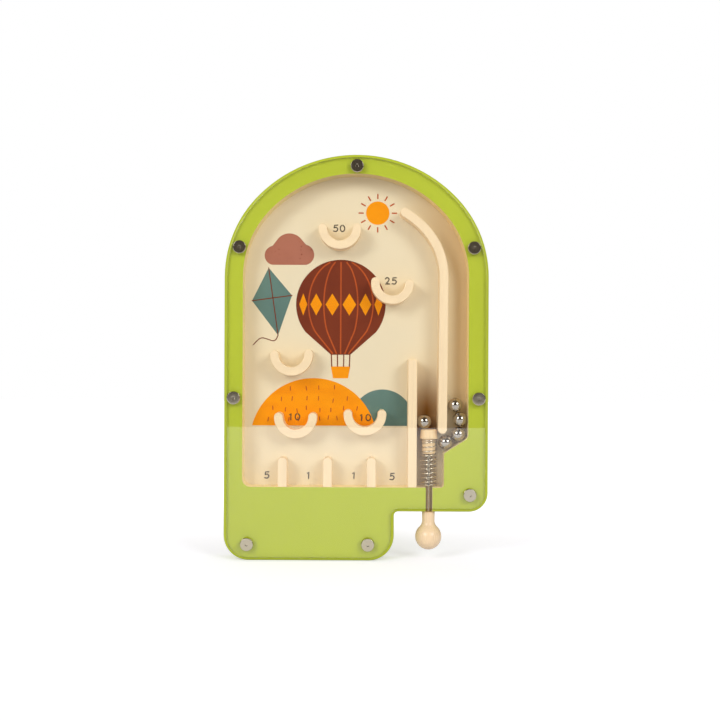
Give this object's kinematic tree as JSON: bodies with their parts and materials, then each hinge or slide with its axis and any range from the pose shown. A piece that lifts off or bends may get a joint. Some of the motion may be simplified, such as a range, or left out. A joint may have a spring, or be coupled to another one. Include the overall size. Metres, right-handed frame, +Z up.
{
  "type": "tabletop pinball game",
  "caption": "Upright wooden pinball game: arched painted frame on a foot, clear screwed cover, scoring cups and pockets, loose steel balls and a sprung pull plunger.",
  "frame": {"origin": "under the middle of the bounding box, on the plane that the foot stands on", "axes": "+Z up towards the arch, +X to the player's right, -Y towards the player, out of the clear cover"},
  "size_m": [0.1888, 0.0288, 0.29],
  "materials": {
    "green_paint": "satin green paint over board, bare wood inside the recess",
    "printed_board": "printed pale veneer, painted green outside",
    "clear_acrylic": "polished clear sheet",
    "screw_steel": "polished steel",
    "insert_brass": "turned brass",
    "rail_wood": "smooth pale wood",
    "turned_wood": "turned pale wood, clear lacquer",
    "rod_steel": "drawn steel",
    "spring_steel": "bright spring wire",
    "ball_steel": "polished steel"
  },
  "bodies": {
    "cabinet": {"frame": "green_paint", "back_board": "printed_board", "cover_sheet": "clear_acrylic", "cover_screws": "screw_steel", "threaded_inserts": "insert_brass", "lane_divider": "rail_wood", "curved_guide": "rail_wood", "pocket_divider_left": "rail_wood", "pocket_divider_middle": "rail_wood", "pocket_divider_right": "rail_wood", "cup_50": "rail_wood", "cup_25": "rail_wood", "cup_left": "rail_wood", "cup_10_left": "rail_wood", "cup_10_right": "rail_wood", "plunger_spring": "spring_steel"},
    "plunger": {"plunger_head": "turned_wood", "plunger_rod": "rod_steel", "plunger_knob": "turned_wood"},
    "launch_ball": {"launch_ball": "ball_steel"},
    "queue_ball_1": {"queue_ball_1": "ball_steel"},
    "queue_ball_2": {"queue_ball_2": "ball_steel"},
    "queue_ball_3": {"queue_ball_3": "ball_steel"},
    "queue_ball_4": {"queue_ball_4": "ball_steel"}
  },
  "joints": [
    {"name": "plunger_slide", "type": "slide", "parent": "cabinet", "child": "plunger", "axis": [0, 0, -1], "range_m": [0, 0.018], "stiffness_N_per_m": 180, "springref_m": -0.005, "deforming": ["plunger_spring"]},
    {"name": "launch_ball_roll", "type": "slide", "parent": "plunger", "child": "launch_ball", "axis": [0, 0, 1], "range_m": [0, 0.12]},
    {"name": "queue_ball_1_spin", "type": "hinge", "parent": "cabinet", "child": "queue_ball_1", "pos_m": [0.0644, -0.00213, 0.0845], "axis": [0, 1, 0], "continuous": true},
    {"name": "queue_ball_2_roll", "type": "slide", "parent": "cabinet", "child": "queue_ball_2", "axis": [0, 0, 1], "range_m": [0, 0.03]},
    {"name": "queue_ball_3_roll", "type": "slide", "parent": "queue_ball_2", "child": "queue_ball_3", "axis": [0, 0, 1], "range_m": [0, 0.03]},
    {"name": "queue_ball_4_roll", "type": "slide", "parent": "queue_ball_3", "child": "queue_ball_4", "axis": [0, 0, 1], "range_m": [0, 0.03]}
  ]
}
